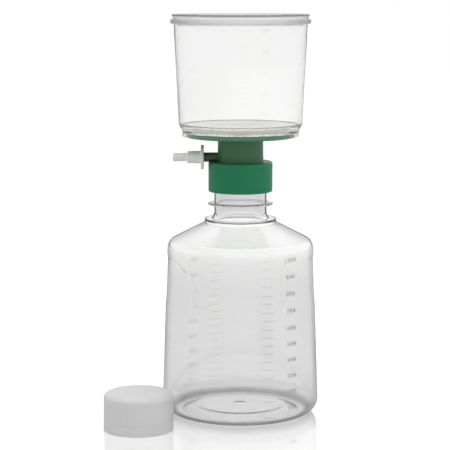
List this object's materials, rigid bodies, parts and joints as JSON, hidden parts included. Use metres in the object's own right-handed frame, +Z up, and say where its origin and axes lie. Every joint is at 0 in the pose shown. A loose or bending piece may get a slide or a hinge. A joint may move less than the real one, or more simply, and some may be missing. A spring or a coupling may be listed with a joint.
{
  "type": "vacuum filtration unit",
  "caption": "Clear funnel with a lid and membrane over a green side-arm neck adapter, screwed on a clear receiver bottle, with the bottle's storage cap beside it.",
  "frame": {"origin": "centre of the receiver bottle's foot, on the surface it stands on", "axes": "+Z up along the bottle and funnel axis, side arm towards -X, front towards -Y"},
  "size_m": [0.1703, 0.1513, 0.3211],
  "materials": {
    "bottle_clear": "clear, glossy",
    "gasket_foam": "soft, matte",
    "adapter_green": "satin, solid colour",
    "fitting_white": "natural, slightly translucent",
    "plug_fibre": "matte fibre",
    "plate_clear": "clear, glossy",
    "membrane_white": "matte",
    "funnel_clear": "clear, glossy",
    "lid_clear": "clear, glossy",
    "cap_white": "satin"
  },
  "bodies": {
    "receiver": {"receiver_bottle": "bottle_clear", "storage_cap": "cap_white"},
    "neck_seal": {"neck_gasket": "gasket_foam"},
    "filter_head": {"neck_adapter": "adapter_green", "tube_adapter": "fitting_white", "side_arm_plug": "plug_fibre", "membrane_support": "plate_clear", "filter_membrane": "membrane_white", "funnel": "funnel_clear"},
    "lid": {"funnel_lid": "lid_clear"}
  },
  "joints": [
    {"name": "neck_rise", "type": "slide", "parent": "receiver", "child": "neck_seal", "axis": [0, 0, 1], "range_m": [0, 0.0064]},
    {"name": "neck_screw", "type": "hinge", "parent": "neck_seal", "child": "filter_head", "pos_m": [0, 0, 0.19995], "axis": [0, 0, 1], "range_deg": [0, 540]},
    {"name": "lid_lift", "type": "slide", "parent": "filter_head", "child": "lid", "axis": [0, 0, 1], "range_m": [0, 0.06]}
  ],
  "couplings": [
    {"joint": "neck_rise", "follows": "neck_screw", "m_per_rad": 0.0006737}
  ]
}
